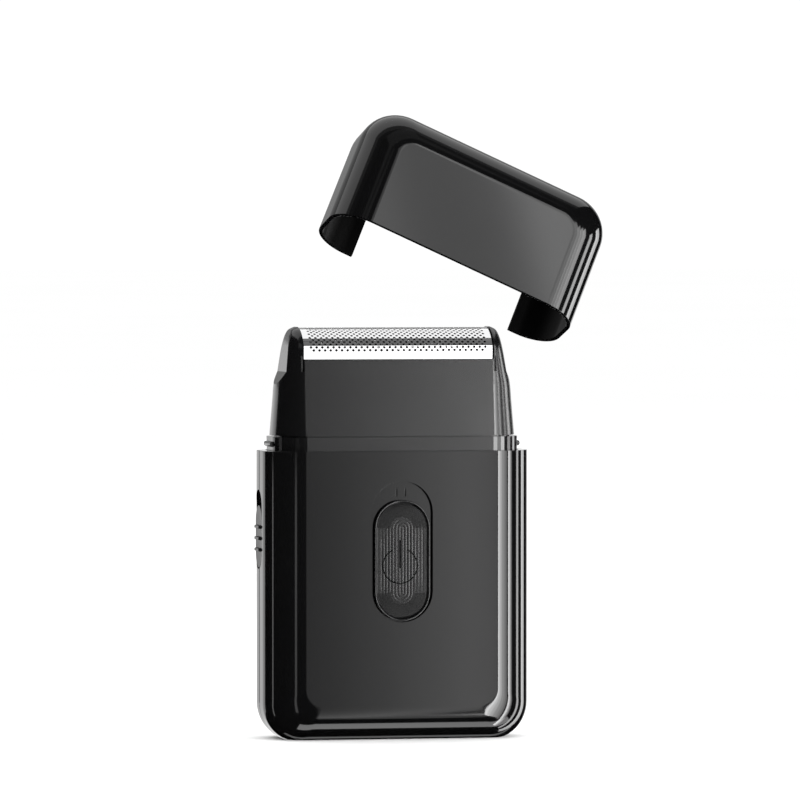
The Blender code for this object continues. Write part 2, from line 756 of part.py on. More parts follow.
def build():
    black = new_material("gloss_black_abs", (0.012, 0.012, 0.014), 0.12)
    satin = new_material("satin_black_plastic", (0.03, 0.03, 0.032), 0.4)
    knob = new_material("metallic_grey_plastic", (0.12, 0.12, 0.125), 0.3, 0.4)
    white = new_material("natural_pom", (0.75, 0.74, 0.7), 0.45)
    rubber = new_material("black_rubber", (0.02, 0.02, 0.02), 0.8)
    steel = new_material("stainless_steel", (0.75, 0.75, 0.76), 0.2, 1.0)
    nickel = new_material("nickel_plate", (0.7, 0.68, 0.62), 0.3, 1.0)
    brass = new_material("contact_brass", (0.8, 0.6, 0.3), 0.3, 1.0)
    board = new_material("circuit_board", (0.03, 0.16, 0.08), 0.5)
    wrap = new_material("cell_wrap", (0.16, 0.2, 0.26), 0.35)

    front_housing(black)
    chassis(satin)
    cells(wrap)
    contacts(nickel)
    fasteners(steel)

    hang("cover_slide", (0, 6, 34), battery_cover(black))
    hang("switch_slide", (0, -12, 42), power_switch(knob, white, brass, board))
    hang("lock_slide", (-32, LOCK_Y, 48), cover_lock(satin))
    hang("rotor_axis", (0, MOTOR_Y, 60), motor(steel, satin, steel))
    hang("bridge_slide", (0, 0, 67), drive_bridge(white, rubber) + cutter_spring(steel))
    hang("cutter_float", (0, 0, 84), cutter(steel, white))
    hang("head_lift", (0, 0, HEAD_Z), head_frame(black))
    hang("foil_float", (0, 0, 90), foil_unit(steel, satin))
    swing = Matrix.Rotation(-math.radians(CAP_SWING_DEG), 3, Vector(CAP_AXIS).normalized())
    hang("cap_swing", CAP_PIVOT, cap(black), swing)


build()
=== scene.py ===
import json
import math

import bmesh
import bpy
from mathutils import Matrix, Vector


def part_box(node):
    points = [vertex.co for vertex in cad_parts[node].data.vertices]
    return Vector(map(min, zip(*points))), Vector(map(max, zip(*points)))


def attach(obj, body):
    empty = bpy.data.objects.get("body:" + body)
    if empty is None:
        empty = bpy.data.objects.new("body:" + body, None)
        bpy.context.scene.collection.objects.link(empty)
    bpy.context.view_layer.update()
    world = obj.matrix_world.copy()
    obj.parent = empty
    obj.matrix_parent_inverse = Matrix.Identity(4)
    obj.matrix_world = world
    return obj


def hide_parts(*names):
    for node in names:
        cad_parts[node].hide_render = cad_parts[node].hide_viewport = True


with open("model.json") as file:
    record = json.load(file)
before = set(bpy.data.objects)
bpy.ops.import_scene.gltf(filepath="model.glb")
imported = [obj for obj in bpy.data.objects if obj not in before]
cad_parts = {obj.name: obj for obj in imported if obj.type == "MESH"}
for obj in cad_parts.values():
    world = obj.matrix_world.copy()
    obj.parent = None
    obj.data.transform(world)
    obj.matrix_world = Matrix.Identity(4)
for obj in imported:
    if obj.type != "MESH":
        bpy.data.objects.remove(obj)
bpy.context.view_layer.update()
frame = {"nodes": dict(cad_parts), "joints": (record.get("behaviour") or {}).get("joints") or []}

# ---------------------------------------------------------------- sizes, in millimetres

MM = 0.001
GAP = 0.3  # clearance round the pieces that slide
FAR = 130.0  # well outside the shaver, for the blocks that trim it

HALF_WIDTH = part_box("front_housing")[1].x / MM
HALF_DEPTH = -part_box("front_housing")[0].y / MM
SHOULDER_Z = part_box("front_housing")[1].z / MM
SEAM_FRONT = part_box("front_housing")[1].y / MM
SEAM_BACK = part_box("battery_cover")[0].y / MM
FILLET = 9.0
CORNER_MIDDLE = 9.3  # corner radius of the outline at the middle of the depth
CORNER_PANEL = 4.0  # corner radius of the flat front panel
WALL_SIDE = 2.1
WALL_FRONT = 1.6
WALL_FOOT = 1.8
FOOT_CUT = 0.8  # the fillet runs this far below the foot, which cuts it flat
SCREWS_Z = (11.0, 22.0)
MARKS_X = (-1.12, 0.98)  # the two short lines above the knob
MARK_HALF_WIDTH = 0.15
MARK_DEPTH = 0.35  # below the floor of the knob's recess

KNOB_LOW, KNOB_HIGH = (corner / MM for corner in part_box("power_knob"))
KNOB_HALF = KNOB_HIGH.x
KNOB_MIDDLE = (KNOB_HIGH.z + KNOB_LOW.z) / 2
KNOB_STRAIGHT = (KNOB_HIGH.z - KNOB_LOW.z) / 2 - KNOB_HALF  # half the length of the straight sides
KNOB_RIM = 0.4  # width of the round rim
KNOB_RIM_DROP = 0.15  # how far the rim falls to either side of its crest
KNOB_DISH = 0.5  # depth of the dish below the crest of the rim
DISH_WALL = 0.3  # width of the slope from the rim down to the dish
DISH_END = 0.5  # how much deeper the dish gets over the last DISH_RUN at each end
DISH_RUN = 5.5
RIB_PITCH = 0.76
RIB_DEPTH = 0.0075  # shallow enough for the gloss to show the ribs only as faint lines
RIBS_OUT = 5.3  # the ribs reach this far to each side
RIBS_ROUND = 2.6  # and turn round each end within this radius
RECESS_HALF = KNOB_HALF + 0.7
RECESS_DEPTH = 1.3
KNOB_CLEARANCE = 0.25  # between the back of the knob's face and the floor of its recess
RECESS_Z = (KNOB_LOW.z - GAP, KNOB_HIGH.z + 4.45)
SIGN_CENTRE = (-0.5, 41.35)
SIGN_RADIUS = 4.15
SIGN_GAP = math.radians(26.0)  # half the opening of the ring
SIGN_LINE = 0.26  # width of its lines

LOCK_LOW, LOCK_HIGH = (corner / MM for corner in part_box("lock_knob"))
LOCK_Y = 1.6
LOCK_HALF = 3.9
LOCK_RECESS_HALF = LOCK_HALF + GAP
LOCK_RECESS_Z = (LOCK_LOW.z - GAP, LOCK_HIGH.z + 3.7)
LOCK_RIBS_Z = (44.9, 47.6, 50.3)

HEAD_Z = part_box("head_frame")[0].z / MM
APRON_TOP = 90.2  # top edge of the head's front and rear walls
HEAD_FLAT_HALF = 22.7  # the head's front is flat this far to each side
HEAD_SECTIONS = (  # height, half width, half depth, and how deep the rounded sides reach
    (HEAD_Z, 29.3, 10.4, 9.6),
    (76.2, 28.98, 10.0, 9.3),
    (80.3, 28.66, 9.6, 9.0),
    (84.3, 28.35, 9.2, 8.7),
    (87.2, 27.7, 9.0, 8.5),
    (90.2, 27.05, 8.7, 8.2),
    (93.4, 26.3, 8.2, 7.6),
    (95.6, 25.7, 6.7, 6.2),
    (97.1, 24.95, 4.5, 4.2),
    (97.8, 23.6, 2.2, 2.0),
)
GRIP_OUTLINE = (  # half width and height of the finger grip on each side of the head
    (28.5, 84.0),
    (26.65, 87.2),
    (26.3, 90.2),
    (25.9, 93.4),
    (25.5, 95.6),
    (24.8, 97.1),
    (23.5, 97.9),
)

FOIL_HALF_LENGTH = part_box("foil")[1].x / MM
FOIL_HALF_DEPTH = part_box("foil")[1].y / MM
FOIL_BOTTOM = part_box("foil")[0].z / MM
FOIL_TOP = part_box("foil")[1].z / MM
FOIL_SPRING_Z = 93.4  # where the foil's arch starts
FOIL_RADIUS = (FOIL_HALF_DEPTH**2 + (FOIL_TOP - FOIL_SPRING_Z) ** 2) / (2 * (FOIL_TOP - FOIL_SPRING_Z))
FOIL_LEAN = math.asin(FOIL_HALF_DEPTH / FOIL_RADIUS)  # half the arch's angle
FOIL_WALL = FOIL_SPRING_Z - FOIL_BOTTOM
FOIL_ARC = 2 * FOIL_RADIUS * FOIL_LEAN
FOIL_SHEET = 0.12
HOLE_PITCH = 1.36
HOLE_ROW = 0.71
HOLE_RADIUS = 0.33
HOLES_IN_ROW = 32
WALL_ROWS = 2  # rows of holes below the arch, on each side

CAP_HEIGHT = 31.8
CAP_WALL = 1.0
CAP_SEAT_Z = SHOULDER_Z + 0.4
CAP_NOTCH_HALF = 21.0
CAP_NOTCH_HEIGHT = 14.0

FILLET_STEPS = 16  # for a quarter turn
CORNER_STEPS = 12


# ---------------------------------------------------------------- camera, in metres

CAMERA_DISTANCE = 1.8
CAMERA_HEIGHT = 0.1279
CAMERA_TURN = math.radians(11.5)
CAMERA_DIP = math.radians(1.515)
CAMERA_LENS = 340.3
CAMERA_ASIDE = 0.00195


def make_camera():
    """A long lens in front of the shaver, a little to the left and higher than its head."""
    data = bpy.data.cameras.new("camera")
    data.lens = CAMERA_LENS
    data.sensor_width = 36.0
    data.clip_end = 20.0
    camera = bpy.data.objects.new("camera", data)
    bpy.context.scene.collection.objects.link(camera)
    ahead = Vector((math.sin(CAMERA_TURN), math.cos(CAMERA_TURN), 0.0))
    right = Vector((math.cos(CAMERA_TURN), -math.sin(CAMERA_TURN), 0.0))
    camera.location = right * CAMERA_ASIDE - ahead * CAMERA_DISTANCE + Vector((0, 0, CAMERA_HEIGHT))
    camera.rotation_euler = (math.pi / 2 - CAMERA_DIP, 0.0, -CAMERA_TURN)
    bpy.context.scene.camera = camera


# ---------------------------------------------------------------- shapes


def place(name, mesh):
    obj = bpy.data.objects.new(name, mesh)
    bpy.context.scene.collection.objects.link(obj)
    return obj


def mesh_object(name, bm):
    bmesh.ops.recalc_face_normals(bm, faces=bm.faces)
    mesh = bpy.data.meshes.new(name)
    bm.to_mesh(mesh)
    bm.free()
    return place(name, mesh)


def loft(name, rings):
    """A closed solid through rings of equal numbers of points (mm)."""
    bm = bmesh.new()
    made = [[bm.verts.new(Vector(point) * MM) for point in ring] for ring in rings]
    for below, above in zip(made, made[1:]):
        for i in range(len(below)):
            j = (i + 1) % len(below)
            bm.faces.new((below[i], below[j], above[j], above[i]))
    bm.faces.new(made[0])
    bm.faces.new(made[-1])
    return mesh_object(name, bm)


def prism(name, outline, axis, start, end):
    """A flat outline (mm, in the other two axes' order) drawn out along axis."""
    orders = {
        "X": lambda a, b, c: (c, a, b),
        "Y": lambda a, b, c: (a, c, b),
        "Z": lambda a, b, c: (a, b, c),
    }
    point = orders[axis]
    return loft(name, [[point(a, b, c) for a, b in outline] for c in (start, end)])


def box(name, low, high):
    (x0, y0, z0), (x1, y1, z1) = low, high
    return prism(name, [(x0, y0), (x1, y0), (x1, y1), (x0, y1)], "Z", z0, z1)


def circle(radius, centre=(0.0, 0.0), steps=32, start=0.0, sweep=2 * math.pi):
    """Points round a circle or, with a smaller sweep, along an arc that includes its end."""
    count = steps if sweep == 2 * math.pi else steps + 1
    angles = [start + sweep * k / steps for k in range(count)]
    return [(centre[0] + radius * math.cos(a), centre[1] + radius * math.sin(a)) for a in angles]


def oval(half, low, high, steps=16):
    """An upright oval with straight sides, half as wide as half says, from low to high."""
    top = circle(half, (0.0, high - half), steps, 0.0, math.pi)
    bottom = circle(half, (0.0, low + half), steps, math.pi, math.pi)
    return top + bottom


def rounded_rectangle(half_x, half_y, radii, steps=8):
    """Corner points, counter-clockwise, with oval corners of radii (across, deep)."""
    across, deep = radii
    points = []
    for quarter, (side_x, side_y) in enumerate(((1, 1), (-1, 1), (-1, -1), (1, -1))):
        for cosine, sine in circle(1.0, (0.0, 0.0), steps, quarter * math.pi / 2, math.pi / 2):
            x = side_x * (half_x - across) + across * cosine
            y = side_y * (half_y - deep) + deep * sine
            points.append((x, y))
    return points


def tub(name, half_width, half_depth, fillet, corners, z_open, z_end):
    """A slab with flat front and back panels, and one round fillet about its sides and closed end."""
    side = math.copysign(1, z_end - z_open)
    middle, panel = corners
    turns = [math.pi / 2 * k / FILLET_STEPS for k in range(FILLET_STEPS + 1)]
    angles = [math.pi / 2 * k / CORNER_STEPS for k in range(CORNER_STEPS + 1)]
    stations = [(half_depth - fillet + fillet * math.sin(a), fillet * (1 - math.cos(a))) for a in turns]
    stations = [(-y, inset) for y, inset in reversed(stations)] + stations
    rings = []
    for y, inset in stations:
        width = half_width - inset
        end = z_end - side * inset
        radius = middle + (panel - middle) * inset / fillet
        left = [
            (-width + radius * (1 - math.cos(a)), y, end - side * radius * (1 - math.sin(a)))
            for a in angles
        ]
        right = [(-x, y, z) for x, y, z in reversed(left)]
        rings.append([(-width, y, z_open), *left, *right, (width, y, z_open)])
    return loft(name, rings)


def change(target, operation, *tools):
    """Adds or takes away each tool, and leaves the result as the target's own mesh."""
    for tool in tools:
        step = target.modifiers.new(tool.name, "BOOLEAN")
        step.operation = operation
        step.solver = "EXACT"
        step.object = tool
    bake(target)
    for tool in tools:
        bpy.data.objects.remove(tool, do_unlink=True)


def bake(target):
    """Leaves the result of the modifiers as the target's own mesh."""
    bpy.context.view_layer.update()
    graph = bpy.context.evaluated_depsgraph_get()
    mesh = bpy.data.meshes.new_from_object(target.evaluated_get(graph))
    target.modifiers.clear()
    target.data = mesh


def cut(target, *tools):
    change(target, "DIFFERENCE", *tools)


def join(target, *tools):
    change(target, "UNION", *tools)


def smooth(obj, edge=0.0, angle=32.0):
    """Smooth shading that stays flat on the flat faces, with a small bevel on the sharp edges."""
    for polygon in obj.data.polygons:
        polygon.use_smooth = True
    weld = obj.modifiers.new("Weld", "WELD")
    weld.merge_threshold = 0.01 * MM
    if edge:
        bevel = obj.modifiers.new("Edge", "BEVEL")
        bevel.width = edge * MM
        bevel.segments = 2
        bevel.limit_method = "ANGLE"
        bevel.angle_limit = math.radians(angle)
        bevel.use_clamp_overlap = True
    obj.data.set_sharp_from_angle(angle=math.radians(angle))
    even = obj.modifiers.new("Normals", "WEIGHTED_NORMAL")
    even.keep_sharp = True
    even.weight = 80


def finish(obj, body, slot, material, *replaced, edge=0.0, angle=32.0):
    """Shades the piece, gives it its material, and says what it rides on and what it replaces."""
    obj.data.materials.clear()
    obj.data.materials.append(material)
    smooth(obj, edge, angle)
    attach(obj, body)
    if replaced:
        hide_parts(*replaced)


def second_finish(obj, material, chosen):
    """Gives the faces that chosen picks out another material."""
    obj.data.materials.append(material)
    for face in obj.data.polygons:
        if chosen(face):
            face.material_index = 1


# ---------------------------------------------------------------- materials


class Shader:
    """A Principled material with its nodes laid down one by one."""

    def __init__(self, name, colour, roughness, metallic=0.0):
        self.material = bpy.data.materials.new(name)
        self.material.use_nodes = True
        self.tree = self.material.node_tree
        self.main = self.tree.nodes["Principled BSDF"]
        self.main.inputs["Base Color"].default_value = (*colour, 1.0)
        self.main.inputs["Roughness"].default_value = roughness
        self.main.inputs["Metallic"].default_value = metallic
        self.place = self.node("ShaderNodeTexCoord").outputs["Object"]

    def node(self, kind, **settings):
        made = self.tree.nodes.new(kind)
        for key, value in settings.items():
            setattr(made, key, value)
        return made

    def link(self, source, target):
        self.tree.links.new(source, target)

    def noise(self, scale, detail=3.0, stretch=(1, 1, 1)):
        """Noise of about that many cells to the metre, drawn out by stretch."""
        mapping = self.node("ShaderNodeMapping")
        mapping.inputs["Scale"].default_value = stretch
        self.link(self.place, mapping.inputs["Vector"])
        noise = self.node("ShaderNodeTexNoise")
        noise.inputs["Scale"].default_value = scale
        noise.inputs["Detail"].default_value = detail
        self.link(mapping.outputs["Vector"], noise.inputs["Vector"])
        return noise.outputs["Fac"]

    def ramp(self, value, low, high):
        """A number or a colour between low and high, by a value from 0 to 1."""
        if isinstance(low, tuple):
            mix = self.node("ShaderNodeMix", data_type="RGBA")
            self.link(value, mix.inputs[0])
            mix.inputs[6].default_value = (*low, 1.0)
            mix.inputs[7].default_value = (*high, 1.0)
            return mix.outputs[2]
        spread = self.node("ShaderNodeMapRange")
        spread.inputs["From Min"].default_value = 0.3
        spread.inputs["From Max"].default_value = 0.7
        spread.inputs["To Min"].default_value = low
        spread.inputs["To Max"].default_value = high
        self.link(value, spread.inputs["Value"])
        return spread.outputs["Result"]

    def bump(self, height, strength, depth=0.00005):
        bump = self.node("ShaderNodeBump")
        bump.inputs["Strength"].default_value = strength
        bump.inputs["Distance"].default_value = depth
        self.link(height, bump.inputs["Height"])
        self.link(bump.outputs["Normal"], self.main.inputs["Normal"])

    def colour(self, source):
        self.link(source, self.main.inputs["Base Color"])

    def roughness(self, source):
        self.link(source, self.main.inputs["Roughness"])


def moulded(name, dark, light, smoothest, roughest, grain=4000.0, strength=0.05, sheen=0.5):
    """Moulded plastic: faint mottling of the colour, uneven gloss and a fine grain."""
    shader = Shader(name, dark, smoothest)
    shader.main.inputs["Specular IOR Level"].default_value = sheen
    shader.colour(shader.ramp(shader.noise(60.0), dark, light))
    shader.roughness(shader.ramp(shader.noise(90.0, 4.0), smoothest, roughest))
    shader.bump(shader.noise(grain, 2.0), strength, 0.00002)
    return shader.material


def metal(name, dark, light, smoothest, roughest, brush=(1, 1, 1), strength=0.05):
    """Metal brushed along the axis to which brush gives its smallest number."""
    shader = Shader(name, light, smoothest, 1.0)
    grain = shader.noise(1500.0, 3.0, brush)
    shader.colour(shader.ramp(grain, dark, light))
    shader.roughness(shader.ramp(grain, smoothest, roughest))
    shader.bump(grain, strength, 0.00002)
    return shader.material


GLOSS_BLACK = moulded(
    "gloss_black", (0.0022, 0.0022, 0.0024), (0.003, 0.003, 0.0031), 0.07, 0.075, 900.0, 0.01
)
HEAD_BLACK = moulded("head_black", (0.003, 0.003, 0.0032), (0.004, 0.004, 0.0042), 0.14, 0.15, 2500.0, 0.02)
HEAD_SIDE = moulded("head_side", (0.003, 0.003, 0.0032), (0.004, 0.004, 0.0042), 0.22, 0.25, 2500.0, 0.02)
SATIN_BLACK = moulded("satin_black", (0.006, 0.006, 0.0065), (0.01, 0.01, 0.011), 0.3, 0.4, 5000.0, 0.15)
# near black: the ink of the printed power sign, and painted shade on the inside of the cap
INK_AND_PAINTED_SHADE_BLACK = moulded("ink_and_painted_shade_black", (0.0008, 0.0008, 0.0008), (0.0016, 0.0016, 0.0016), 0.4, 0.5, sheen=0.04)
KNOB_GREY = moulded(
    "knob_grey", (0.004, 0.004, 0.0042), (0.006, 0.006, 0.0062), 0.12, 0.15, 3500.0, 0.04, 0.38
)
# painted shade: a darker, duller copy of knob_grey for the dished ends of the knob
KNOB_END_PAINTED_SHADE = moulded(
    "knob_end_painted_shade", (0.003, 0.003, 0.0031), (0.005, 0.005, 0.0051), 0.16, 0.22, 3500.0, 0.06, 0.16
)
NATURAL = moulded("natural_acetal", (0.66, 0.64, 0.58), (0.74, 0.72, 0.67), 0.38, 0.5, 2500.0, 0.1)
RUBBER = moulded("soft_rubber", (0.012, 0.012, 0.012), (0.022, 0.022, 0.022), 0.65, 0.85, 3000.0, 0.2)
FOIL_STEEL = metal("foil_steel", (0.82, 0.82, 0.83), (0.9, 0.9, 0.9), 0.05, 0.08, (0.05, 1, 1), 0.01)
STEEL = metal("bright_steel", (0.5, 0.5, 0.52), (0.7, 0.7, 0.71), 0.18, 0.3, (1, 1, 0.08))
BLADE_STEEL = metal("blade_steel", (0.02, 0.02, 0.021), (0.035, 0.035, 0.036), 0.3, 0.42, (0.08, 1, 1))
NICKEL = metal("nickel", (0.55, 0.52, 0.46), (0.72, 0.7, 0.64), 0.15, 0.28)
BRASS = metal("brass", (0.62, 0.42, 0.16), (0.8, 0.6, 0.3), 0.18, 0.32)


def board_material():
    """Solder resist over fine copper lines, which show as slightly lighter green."""
    shader = Shader("green_board", (0.01, 0.1, 0.045), 0.35)
    lines = shader.node("ShaderNodeTexWave", wave_type="BANDS", bands_direction="X")
    lines.inputs["Scale"].default_value = 260.0
    lines.inputs["Distortion"].default_value = 6.0
    lines.inputs["Detail"].default_value = 0.0
    shader.link(shader.place, lines.inputs["Vector"])
    shader.colour(shader.ramp(lines.outputs["Fac"], (0.008, 0.085, 0.04), (0.02, 0.16, 0.075)))
    shader.bump(lines.outputs["Fac"], 0.2, 0.00003)
    return shader.material


def wrap_material(name, low, high, base, band):
    """A cell's printed sleeve: a plain field with one band of another colour between two heights (m)."""
    shader = Shader(name, base, 0.3)
    split = shader.node("ShaderNodeSeparateXYZ")
    shader.link(shader.place, split.inputs["Vector"])
    above = shader.node("ShaderNodeMath", operation="GREATER_THAN")
    above.inputs[1].default_value = low
    below = shader.node("ShaderNodeMath", operation="LESS_THAN")
    below.inputs[1].default_value = high
    both = shader.node("ShaderNodeMath", operation="MULTIPLY")
    shader.link(split.outputs["Z"], above.inputs[0])
    shader.link(split.outputs["Z"], below.inputs[0])
    shader.link(above.outputs[0], both.inputs[0])
    shader.link(below.outputs[0], both.inputs[1])
    shader.colour(shader.ramp(both.outputs[0], base, band))
    shader.roughness(shader.ramp(shader.noise(200.0), 0.22, 0.34))
    return shader.material


# ---------------------------------------------------------------- housing


def lock_pocket(name):
    """The oval pocket of the cover lock, which crosses the seam."""
    outline = [(LOCK_Y + a, b) for a, b in oval(LOCK_RECESS_HALF, *LOCK_RECESS_Z)]
    return prism(name, outline, "X", -HALF_WIDTH - 2.0, -HALF_WIDTH + 1.0)


def shell(name):
    """The whole filleted body, hollow and open at the top, before the seam parts it."""
    corners = (CORNER_MIDDLE, CORNER_PANEL)
    body = tub(name, HALF_WIDTH, HALF_DEPTH, FILLET, corners, SHOULDER_Z, -FOOT_CUT)
    corners = (CORNER_MIDDLE - WALL_SIDE, CORNER_PANEL - 1.0)
    inside = tub(
        name + "_inside",
        HALF_WIDTH - WALL_SIDE,
        HALF_DEPTH - WALL_FRONT,
        FILLET - WALL_FRONT,
        corners,
        SHOULDER_Z + 5.0,
        WALL_FOOT,
    )
    below = box(name + "_below", (-FAR, -FAR, -5.0), (FAR, FAR, 0.0))
    cut(body, inside, below)
    return body


def front_housing():
    body = shell("front_shell")
    inner = -HALF_DEPTH + WALL_FRONT
    recess_floor = -HALF_DEPTH + RECESS_DEPTH
    cut(body, box("behind", (-FAR, SEAM_FRONT, -5.0), (FAR, FAR, FAR)))
    pad = prism("pad", [(-9, 26), (9, 26), (9, 63), (-9, 63)], "Y", inner - 0.5, inner + 0.7)
    bosses = [prism(f"boss_{z}", circle(2.4, (0.0, z)), "Y", inner - 0.5, inner + 3.2) for z in SCREWS_Z]
    join(body, pad, *bosses)
    recess = prism("recess", oval(RECESS_HALF, *RECESS_Z), "Y", -HALF_DEPTH - 1.0, recess_floor)
    slot = prism("slot", oval(2.3, 37.7, 50.8, 6), "Y", -HALF_DEPTH, -9.5)
    marks = [
        box(
            f"mark_{x}",
            (x - MARK_HALF_WIDTH, recess_floor - 1.0, 57.8),
            (x + MARK_HALF_WIDTH, recess_floor + MARK_DEPTH, 59.5),
        )
        for x in MARKS_X
    ]
    pilots = [prism(f"pilot_{z}", circle(0.9, (0.0, z), 16), "Y", inner, -7.0) for z in SCREWS_Z]
    lock_slot = box("lock_slot", (-33.0, -1.9, 43.7), (-28.0, SEAM_FRONT + 2.0, 54.2))
    cut(body, recess, slot, *marks, *pilots, lock_pocket("lock_pocket_front"), lock_slot)
    finish(body, "housing", "gloss_black_abs", GLOSS_BLACK, "front_housing", edge=0.1)


def battery_cover():
    body = shell("cover_shell")
    cut(body, box("ahead", (-FAR, -FAR, -5.0), (FAR, SEAM_BACK, FAR)))
    ribs = [
        box(f"rib_{x}_{z}", (x - 6.5, 8.4, z), (x + 6.5, 11.4, z + 1.2))
        for x in (-19.0, 19.0)
        for z in (20.0, 45.0)
    ]
    root = box("tooth_root", (-30.4, 6.6, 47.0), (-27.5, 8.4, 50.0))
    tooth = box("tooth", (-28.6, 0.2, 47.0), (-27.5, 7.0, 50.0))
    join(body, *ribs, root, tooth)
    cut(body, lock_pocket("lock_pocket_cover"))
    finish(body, "cover", "gloss_black_abs", GLOSS_BLACK, "battery_cover", edge=0.1)


# ---------------------------------------------------------------- controls


def knob_height(x, along):
    """How far the knob's face lies below its rim (mm), x from the middle line and along past its middle."""
    past = max(abs(along) - KNOB_STRAIGHT, 0.0)
    out = math.hypot(x, past)
    inset = KNOB_HALF - out
    if inset < KNOB_RIM:
        across = 1 - 2 * inset / KNOB_RIM
        return KNOB_RIM_DROP * (1 - math.sqrt(max(1 - across**2, 0.0)))
    floor = KNOB_RIM_DROP + (KNOB_DISH - KNOB_RIM_DROP) * min((inset - KNOB_RIM) / DISH_WALL, 1.0)
    floor += DISH_END * (past / DISH_RUN) ** 2
    groove = 0.5 - 0.5 * math.cos(2 * math.pi * out / RIB_PITCH)
    in_ribs = out < RIBS_OUT and (past == 0.0 or out < RIBS_ROUND)
    return floor + (RIB_DEPTH * groove**3 if in_ribs else 0.0)


def power_knob():
    """The face is a field of concentric ovals, each lowered by the height of the knob there."""
    middle, straight = KNOB_MIDDLE, KNOB_STRAIGHT
    rings = 133
    arc_steps = 20
    line_steps = 8
    bm = bmesh.new()
    made = []
    for ring in range(rings):
        half = KNOB_HALF * (1 - ring / rings)
        top = circle(half, (0.0, straight), arc_steps, 0.0, math.pi)
        bottom = circle(half, (0.0, -straight), arc_steps, math.pi, math.pi)
        down = [(-half, straight * (1 - 2 * k / line_steps)) for k in range(1, line_steps)]
        up = [(half, straight * (2 * k / line_steps - 1)) for k in range(1, line_steps)]
        outline = top + down + bottom + up
        row = []
        for x, along in outline:
            y = KNOB_LOW.y + knob_height(x, along)
            row.append(bm.verts.new(Vector((x, y, middle + along)) * MM))
        made.append(row)
    spine = [straight * (1 - 2 * k / line_steps) for k in range(line_steps + 1)]
    floor = [bm.verts.new(Vector((0.0, KNOB_LOW.y + knob_height(0.0, s), middle + s)) * MM) for s in spine]
    for outer, inner in zip(made, made[1:]):
        for i in range(len(outer)):
            j = (i + 1) % len(outer)
            bm.faces.new((outer[i], outer[j], inner[j], inner[i]))
    last = made[-1]
    count = arc_steps + 1
    for i in range(arc_steps):
        bm.faces.new((last[i], last[i + 1], floor[0]))
        first = count + line_steps - 1
        bm.faces.new((last[first + i], last[first + i + 1], floor[-1]))
    for k in range(line_steps):
        left = count - 1 + k
        bm.faces.new((last[left], last[left + 1], floor[k + 1], floor[k]))
        right = (2 * count + line_steps - 2 + k) % len(last)
        bm.faces.new((last[right], last[(right + 1) % len(last)], floor[-2 - k], floor[-1 - k]))
    back_y = (-HALF_DEPTH + RECESS_DEPTH - KNOB_CLEARANCE) * MM
    back = [bm.verts.new(Vector((v.co.x, back_y, v.co.z))) for v in made[0]]
    for i in range(len(back)):
        j = (i + 1) % len(back)
        bm.faces.new((made[0][j], made[0][i], back[i], back[j]))
    bm.faces.new(back)
    knob = mesh_object("slide_knob", bm)
    join(knob, box("stem", (-2.0, -11.6, 38.0), (2.0, -9.4, 46.0)))
    finish(knob, "switch", "metallic_grey_plastic", KNOB_GREY, "power_knob", angle=50.0)

    def at_the_ends(face):
        x, y, z = face.center / MM
        past = abs(z - middle) - straight
        out = math.hypot(x, past)
        return past > 0.0 and RIBS_ROUND < out < KNOB_HALF - 0.5 and y < KNOB_LOW.y + 1.2

    # painted shade: the dished ends get the darker, duller copy of the knob's material
    second_finish(knob, KNOB_END_PAINTED_SHADE, at_the_ends)


def sign_line(name, points):
    """A thin dark line along points (x, z) about the sign's centre, on the floor of the knob's dish."""
    curve = bpy.data.curves.new(name, "CURVE")
    curve.dimensions = "3D"
    curve.bevel_depth = SIGN_LINE / 2 * MM
    curve.bevel_resolution = 2
    curve.use_fill_caps = True
    spline = curve.splines.new("POLY")
    spline.points.add(len(points) - 1)
    for point, (x, z) in zip(spline.points, points):
        spot = Vector((SIGN_CENTRE[0] + x, KNOB_LOW.y + KNOB_DISH, SIGN_CENTRE[1] + z)) * MM
        point.co = (*spot, 1.0)
    line = place(name, curve)
    curve.materials.append(INK_AND_PAINTED_SHADE_BLACK)
    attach(line, "switch")


def power_sign():
    sweep = 2 * (math.pi - SIGN_GAP)
    sign_line("sign_ring", circle(SIGN_RADIUS, (0.0, 0.0), 48, math.pi / 2 + SIGN_GAP, sweep))
    sign_line("sign_bar", [(0.0, -0.6), (0.0, 6.1)])


def lock_knob():
    outline = [(LOCK_Y + a, b) for a, b in oval(LOCK_HALF, LOCK_LOW.z, LOCK_HIGH.z)]
    knob = prism("lock_slider", outline, "X", -31.95, -31.2)
    ribs = []
    for z in LOCK_RIBS_Z:
        profile = [(-31.6, z - 0.55), (-32.5, z - 0.3), (-32.55, z), (-32.5, z + 0.3), (-31.6, z + 0.55)]
        rings = [[(a, y, b) for a, b in profile] for y in (LOCK_Y - 2.6, LOCK_Y + 2.6)]
        ribs.append(loft(f"lock_rib_{z}", rings))
    stem = box("lock_stem", (-31.5, -1.6, 44.0), (-28.9, 0.8, 50.4))
    hook = box("lock_hook", (-29.6, -2.2, 44.0), (-28.9, 3.0, 50.4))
    join(knob, *ribs, stem, hook)
    finish(knob, "lock", "satin_black_plastic", SATIN_BLACK, "lock_knob", edge=0.12)


# ---------------------------------------------------------------- head


def grip(side):
    """The block that leaves a flat finger grip, with a ramp below it, on one side of the head."""
    top = HEAD_SECTIONS[-1][0] + 1.0
    first_z, last_x = GRIP_OUTLINE[0][1], GRIP_OUTLINE[-1][0]
    outline = [(HALF_WIDTH, first_z), *GRIP_OUTLINE, (last_x, top), (HALF_WIDTH, top)]
    return prism(f"grip_{side}", [(side * x, z) for x, z in outline], "Y", -HALF_DEPTH, HALF_DEPTH)


